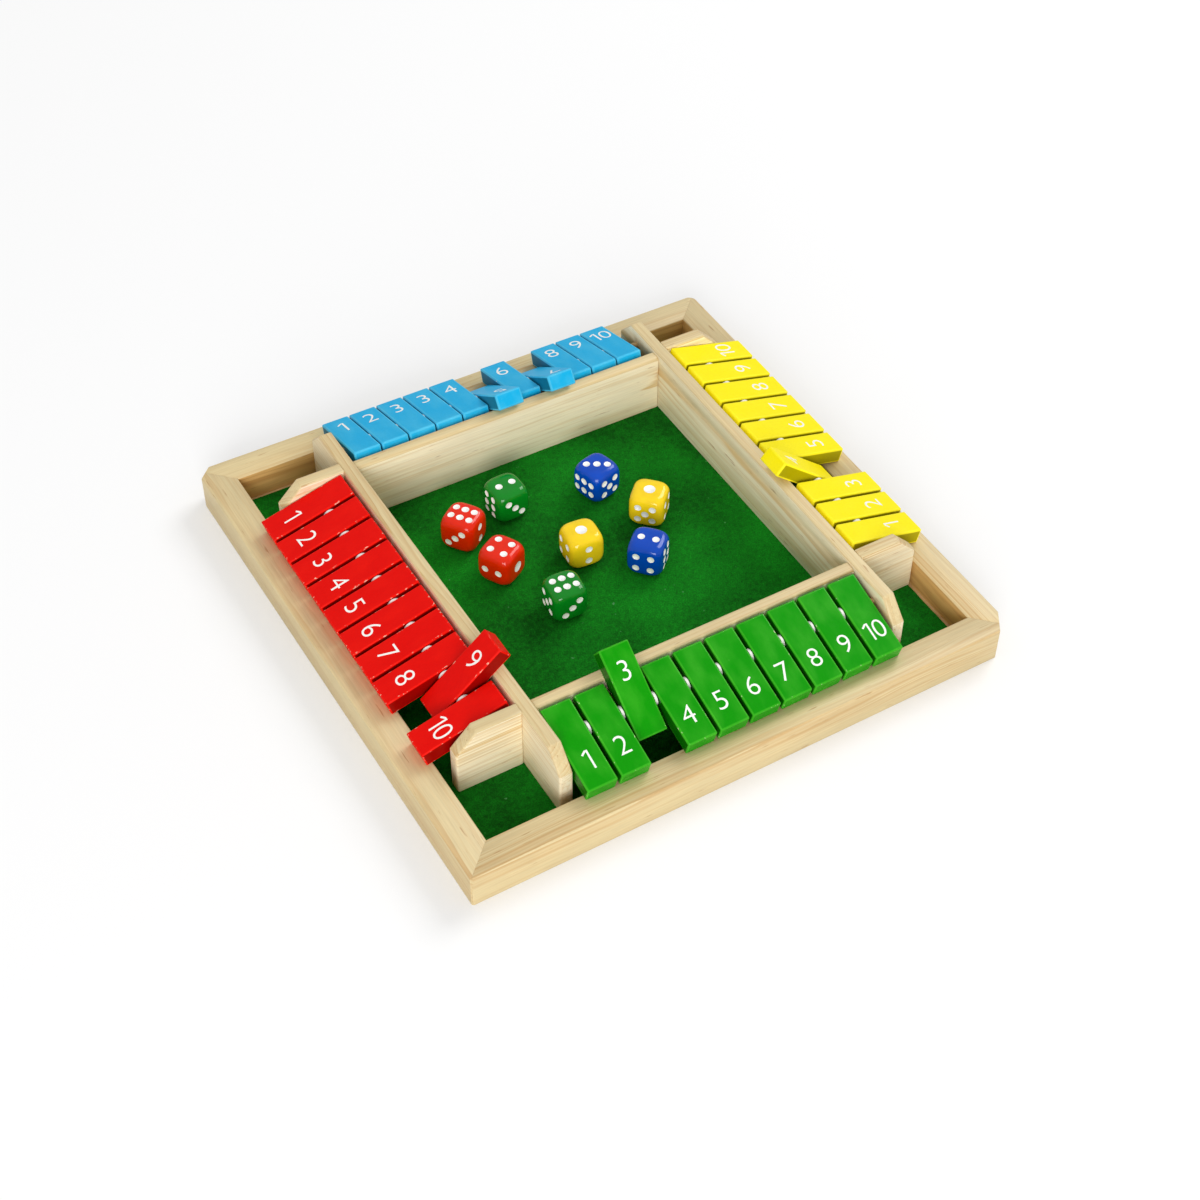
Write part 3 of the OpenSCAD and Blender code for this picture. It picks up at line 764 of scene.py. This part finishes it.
class GAME_OT_tiles(Operator):
    """Model the number tiles with their numerals."""
    bl_idname = "game.tiles"
    bl_label = "Number tiles"

    def blank(self, tiles, side, width, soft):
        """An unpainted tile, level, its long end along -Y and its rod along X."""
        half = tiles.thickness / 2
        outer = (tiles.outer_back if side == "blue" else tiles.outer) + soft
        piece = block("blank_" + side, (-width / 2, -outer, -half), (width / 2, tiles.inner, half))
        ease(piece, soft, 3, lambda a, b: True)
        only(piece)
        bpy.ops.object.mode_set(mode="EDIT")
        bpy.ops.mesh.select_mode(type="FACE")
        bpy.ops.mesh.select_all(action="DESELECT")
        bpy.ops.object.mode_set(mode="OBJECT")
        for face in piece.data.polygons:
            face.select = face.area > 20 * MM * MM  # all but the eased edges
        bpy.ops.object.mode_set(mode="EDIT")
        bpy.ops.mesh.inset(thickness=0.4 * MM, use_individual=True)
        bpy.ops.object.mode_set(mode="OBJECT")
        carve(piece, pin("bore", tiles.bore / 2, (-width, 0, 0), (width, 0, 0)))
        middle = Vector((0, (tiles.inner - outer) / 2, 0))
        halves = (width / 2, (tiles.inner + outer) / 2, half)
        # edge marks the eased edges, both for the painted edge highlight and for the rubbed wear
        edge = []
        for v in piece.data.vertices:
            gaps = sorted(h - abs(c) for h, c in zip(halves, v.co - middle))
            edge.append(float(gaps[1] < soft + NEAR))
        note(piece, "edge", edge)
        # side marks the long sides for their painted shade between neighbouring tiles
        note(piece, "side", [float(abs(v.co.x) > (width - soft) / 2
                                   and abs(v.co.z) < half - soft - NEAR)
                             for v in piece.data.vertices])
        smooth(piece)
        return piece

    def digit(self, text, height):
        """One flat raised digit that stands on y = 0 with its left side at x = 0."""
        paint = 0.03 * MM  # half the thickness of the film
        if text == "1":
            thick, left = height / 10, 0.25 * height
            piece = block("one", (left, 0, -thick), (left + thick, height, thick))
            flag = block("flag", (0, -thick, -thick), (0.4 * height, 0, thick))
            flag.data.transform(Matrix.Translation((left + thick, height, 0))
                                @ Matrix.Rotation(math.radians(217), 4, "Z"))
            only(piece)
            union = piece.modifiers.new("union", "BOOLEAN")
            union.object, union.operation, union.solver = flag, "UNION", "EXACT"
            bpy.ops.object.modifier_apply(modifier=union.name)
            bpy.data.objects.remove(flag, do_unlink=True)
            saw(piece, (0, height, 0), (0, 1, 0))
            saw(piece, (left + thick, 0, 0), (1, 0, 0))
            piece.data.transform(Matrix.Diagonal((1, 1, paint / thick, 1)))
        else:
            only()
            bpy.ops.object.text_add()
            piece = bpy.context.object
            piece.data.body, piece.data.size = text, 0.01
            piece.data.extrude, piece.data.offset = paint, -0.11 * MM  # slimmer strokes
            piece.data.resolution_u = 6
            bpy.ops.object.convert(target="MESH")
            piece = bpy.context.object
        low = [min(v.co[i] for v in piece.data.vertices) for i in (0, 1)]
        high = max(v.co.y for v in piece.data.vertices)
        scale = height / (high - low[1])
        piece.data.transform(Matrix.Diagonal((scale, scale, 1, 1))
                             @ Matrix.Translation((-low[0], -low[1], 0)))
        return piece

    def numeral(self, text, height):
        """A numeral round its own middle, upright along +Y."""
        digits, right, gap = [], 0.0, 0.13 * height
        for letter in text:
            piece = self.digit(letter, height)
            piece.data.transform(Matrix.Translation((right, 0, 0)))
            right = max(v.co.x for v in piece.data.vertices) + gap
            digits.append(piece)
        whole = joined("numeral", *digits)
        whole.data.transform(Matrix.Translation(((gap - right) / 2, -height / 2, 0)))
        return whole

    def execute(self, context):
        tiles = context.scene.game_tiles
        chance = random.Random(37)
        white = printed_white("screened_white_enamel", tiles.white, 0.45)
        # the second colour of each paint is the pale one used for its painted sheen and painted
        # edge highlight
        paints = {"green": enamel("green_gloss_enamel", tiles.green, "#46B428", 0.12, 0.13),
                  "yellow": enamel("yellow_satin_enamel", tiles.yellow, "#FFF230", 0.34, 0.05),
                  "blue": enamel("blue_satin_enamel", tiles.blue, "#58C4E6", 0.30, 0.09),
                  "red": enamel("red_satin_enamel", tiles.red, "#EE1604", 0.30, 0.18)}
        slots = {"green": "green_lacquer", "yellow": "yellow_paint", "blue": "blue_paint",
                 "red": "red_paint"}
        blanks = {}
        for node in sorted(n for n in frame["nodes"] if n.startswith("tile_")):
            _, side, label = node.split("_")
            low, high = (Vector(corner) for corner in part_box(node))
            if side not in blanks:
                width = (high - low)[0 if side in ("green", "blue") else 1]
                soft = tiles.ease_soft if side in ("blue", "yellow") else tiles.ease
                blanks[side] = self.blank(tiles, side, width, soft)
            tile = twin(blanks[side], node + "_painted")
            shift = Vector((chance.uniform(0, 5), chance.uniform(0, 5), chance.uniform(0, 5)))
            note(tile, "grain", [(v.co.y + shift.x, v.co.x + shift.y, v.co.z + shift.z)
                                 for v in tile.data.vertices])
            tile.data.materials.clear()
            tile.data.materials.append(paints[side])
            face = tiles.thickness / 2 + 0.01 * MM
            marks = []
            for under in (False, True):
                mark = self.numeral(label.rstrip("ab"), tiles.numeral)
                mark.data.materials.append(white)
                turn = Matrix.Identity(4)
                if under:
                    turn = Matrix.Rotation(math.pi, 4, "X")
                elif side == "blue":
                    turn = Matrix.Rotation(math.pi, 4, "Z")
                away = tiles.under_place if under else tiles.top_place
                mark.data.transform(Matrix.Translation((0, -away, -face if under else face)) @ turn)
                marks.append(mark)
            tile = joined(node + "_painted", tile, *marks)
            joint = JOINTS["flip_" + side + "_" + label]
            swung = math.radians(min(0, joint["range_deg"][0]))
            tile.data.transform(
                Matrix.Translation(joint["pos_m"])
                @ Matrix.Rotation(math.radians(ROWS[side]), 4, "Z")
                @ Matrix.Rotation(swung + (tiles.tilt_back if side == "blue" else tiles.tilt),
                                  4, "X"))
            hand_over(tile, node, slots[side], [node])
        for blank in blanks.values():
            bpy.data.objects.remove(blank, do_unlink=True)
        return {"FINISHED"}


class GAME_OT_dice(Operator):
    """Model the dice with their pips."""
    bl_idname = "game.dice"
    bl_label = "Dice"

    def spots(self, dice, number):
        """The pip places of one face, seen from above it."""
        s, l, c = (share * dice.width
                   for share in (dice.pip_step, dice.pip_long, dice.pip_short))
        return {
            1: [(0, 0)], 2: [(0, -s), (0, s)], 3: [(-s, s), (0, 0), (s, -s)],
            4: [(-s, -s), (-s, s), (s, -s), (s, s)],
            5: [(-s, -s), (-s, s), (0, 0), (s, -s), (s, s)],
            6: [(x, y) for x in (-c, c) for y in (-l, 0, l)],
        }[number]

    def master(self, dice, resin_skin, white):
        """A die round the origin with its one on top, its two at -Y and its three at +X."""
        half = dice.width / 2
        blend = 24  # how tightly the ball cuts the corners
        die = block("master_die", (-half, -half, -half), (half, half, half))
        only(die)
        bpy.ops.object.mode_set(mode="EDIT")
        bpy.ops.mesh.select_all(action="SELECT")
        bpy.ops.mesh.subdivide(number_cuts=30)
        bpy.ops.object.mode_set(mode="OBJECT")
        for v in die.data.vertices:
            v.co /= sum(abs(c / half) ** dice.dome for c in v.co) ** (1 / dice.dome)
            v.co /= (1 + (2 * v.co.length / dice.ball) ** blend) ** (1 / blend)
        die.data.materials.clear()
        die.data.materials.append(resin_skin)
        turns = {1: (0, "X"), 2: (90, "X"), 3: (90, "Y"), 4: (-90, "Y"), 5: (-90, "X"),
                 6: (180, "X")}
        balls = []
        for number, (turn, axis) in turns.items():
            for x, y in self.spots(dice, number):
                wide = dice.pip_one if number == 1 else dice.pip
                radius = (wide ** 2 / 4 + dice.depth ** 2) / (2 * dice.depth)
                only()
                bpy.ops.mesh.primitive_uv_sphere_add(segments=40, ring_count=28, radius=radius)
                ball = bpy.context.object
                ball.data.materials.append(white)
                ball.data.transform(
                    Matrix.Rotation(math.radians(turn), 4, axis)
                    @ Matrix.Translation((x, y, half + radius - dice.depth)))
                balls.append(ball)
        carve(die, *balls)
        smooth(die, 30)
        return die

    def execute(self, context):
        dice = context.scene.game_dice
        white = printed_white("pooled_white_enamel", dice.white, 0.3)
        skins = {c: resin(c + "_cast_resin", getattr(dice, c)) for c in ROWS}
        lies = {  # face on top and turn of each die
            "red_a": (6, 216), "red_b": (4, 300), "green_a": (2, 273), "green_b": (6, 266),
            "yellow_a": (1, 135), "yellow_b": (1, -5), "blue_a": (3, 195), "blue_b": (2, 43)}
        up = {1: (0, "X"), 2: (-90, "X"), 3: (-90, "Y"), 4: (90, "Y"), 5: (90, "X"),
              6: (180, "X")}
        master = self.master(dice, skins["red"], white)
        for name, (face, turn) in lies.items():
            node = "die_" + name
            low, high = (Vector(corner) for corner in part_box(node))
            die = twin(master, node + "_resin")
            die.data.materials[0] = skins[name.split("_")[0]]
            angle, axis = up[face]
            die.data.transform(
                Matrix.Translation((low + high) / 2)
                @ Matrix.Rotation(math.radians(turn), 4, "Z")
                @ Matrix.Rotation(math.radians(angle), 4, axis))
            hand_over(die, node, name.split("_")[0] + "_resin", [node])
        bpy.data.objects.remove(master, do_unlink=True)
        return {"FINISHED"}


class GAME_OT_stage(Operator):
    """Set the floor, the lamps and the camera."""
    bl_idname = "game.stage"
    bl_label = "Stage"

    def execute(self, context):
        stage = context.scene.game_stage
        only()
        bpy.ops.mesh.primitive_plane_add(size=12, location=(0, 0, 0))
        floor = bpy.context.object
        floor.name = "floor"
        floor.data.transform(Matrix.Translation((0, 0, -0.05 * MM)))
        paper = bpy.data.materials.new("white_paper")
        paper.use_nodes = True
        tree = paper.node_tree
        tree.nodes.clear()
        matt = add(tree, "BsdfDiffuse", {"Color": linear(stage.floor)})
        path = add(tree, "LightPath", out="Is Camera Ray")
        gain = add(tree, "Math", {0: path, 1: stage.glow}, operation="MULTIPLY")
        glow = add(tree, "Emission", {"Color": (1, 1, 1, 1), "Strength": gain})
        add(tree, "OutputMaterial", {"Surface": add(tree, "AddShader", {0: matt, 1: glow})})
        floor.data.materials.append(paper)

        world = bpy.data.worlds.new("studio")
        context.scene.world = world
        world.use_nodes = True
        tree = world.node_tree
        tree.nodes.clear()
        seen = add(tree, "Math", {0: add(tree, "LightPath", out="Is Camera Ray"),
                                  1: add(tree, "LightPath", out="Is Transmission Ray")},
                   operation="MAXIMUM")
        strength = add(tree, "MapRange", {"Value": seen, "To Min": stage.sky, "To Max": 1.0})
        shine = add(tree, "Background", {"Color": (1, 1, 1, 1), "Strength": strength})
        add(tree, "OutputWorld", {"Surface": shine})

        for name, place, power, wide in (("overhead", (2.4, 0.8, 2.4), stage.key, 1.6),
                                         ("front", (-1.6, -2.7, 1.16), stage.fill, 1.8)):
            bpy.ops.object.light_add(type="AREA", location=place)
            lamp = bpy.context.object
            lamp.name = name
            lamp.data.energy, lamp.data.size = power, wide
            lamp.rotation_euler = (-Vector(place)).to_track_quat("-Z", "Y").to_euler()

        az, el, roll = stage.azimuth, stage.elevation, stage.roll
        ahead = Vector((math.sin(-az) * math.cos(el), math.cos(az) * math.cos(el), -math.sin(el)))
        right = Vector((math.cos(az), math.sin(az), 0))
        upward = right.cross(ahead)
        turned_right = math.cos(roll) * right + math.sin(roll) * upward
        turned_up = math.cos(roll) * upward - math.sin(roll) * right
        bpy.ops.object.camera_add()
        camera = bpy.context.object
        camera.name = "camera"
        basis = Matrix((turned_right, turned_up, -ahead)).transposed().to_4x4()
        camera.matrix_world = Matrix.Translation(stage.place) @ basis
        camera.data.lens, camera.data.sensor_width = stage.lens, 36
        camera.data.shift_x, camera.data.shift_y = stage.shift_x, stage.shift_y
        camera.data.clip_start, camera.data.clip_end = 0.01, 50
        context.scene.camera = camera
        context.scene.view_settings.view_transform = "Standard"
        return {"FINISHED"}


class GAME_PT_panel(Panel):
    """Lists the steps that make the game."""
    bl_idname = "GAME_PT_panel"
    bl_label = "Shut the box game"
    bl_space_type = "VIEW_3D"
    bl_region_type = "UI"
    bl_category = "Game"

    def draw(self, context):
        for step in STEPS:
            self.layout.operator(step.bl_idname)
        for group in GROUPS:
            column = self.layout.column()
            column.label(text=group.__doc__)
            settings = getattr(context.scene, GROUPS[group])
            for name in group.__annotations__:
                column.prop(settings, name)


GROUPS = {GameWood: "game_wood", GameFelt: "game_felt", GameTiles: "game_tiles",
          GameDice: "game_dice", GameStage: "game_stage"}
STEPS = (GAME_OT_stage, GAME_OT_base, GAME_OT_felt, GAME_OT_rim, GAME_OT_lattice, GAME_OT_tiles,
         GAME_OT_dice)


def register():
    for group, name in GROUPS.items():
        bpy.utils.register_class(group)
        setattr(bpy.types.Scene, name, PointerProperty(type=group))
    for step in STEPS + (GAME_PT_panel,):
        bpy.utils.register_class(step)


def unregister():
    for step in STEPS + (GAME_PT_panel,):
        bpy.utils.unregister_class(step)
    for group, name in GROUPS.items():
        delattr(bpy.types.Scene, name)
        bpy.utils.unregister_class(group)


def main():
    register()
    for step in STEPS:
        if getattr(bpy.ops.game, step.bl_idname.split(".")[1])() != {"FINISHED"}:
            raise RuntimeError(step.bl_label + " wasn't finished")


if __name__ == "__main__":
    main()
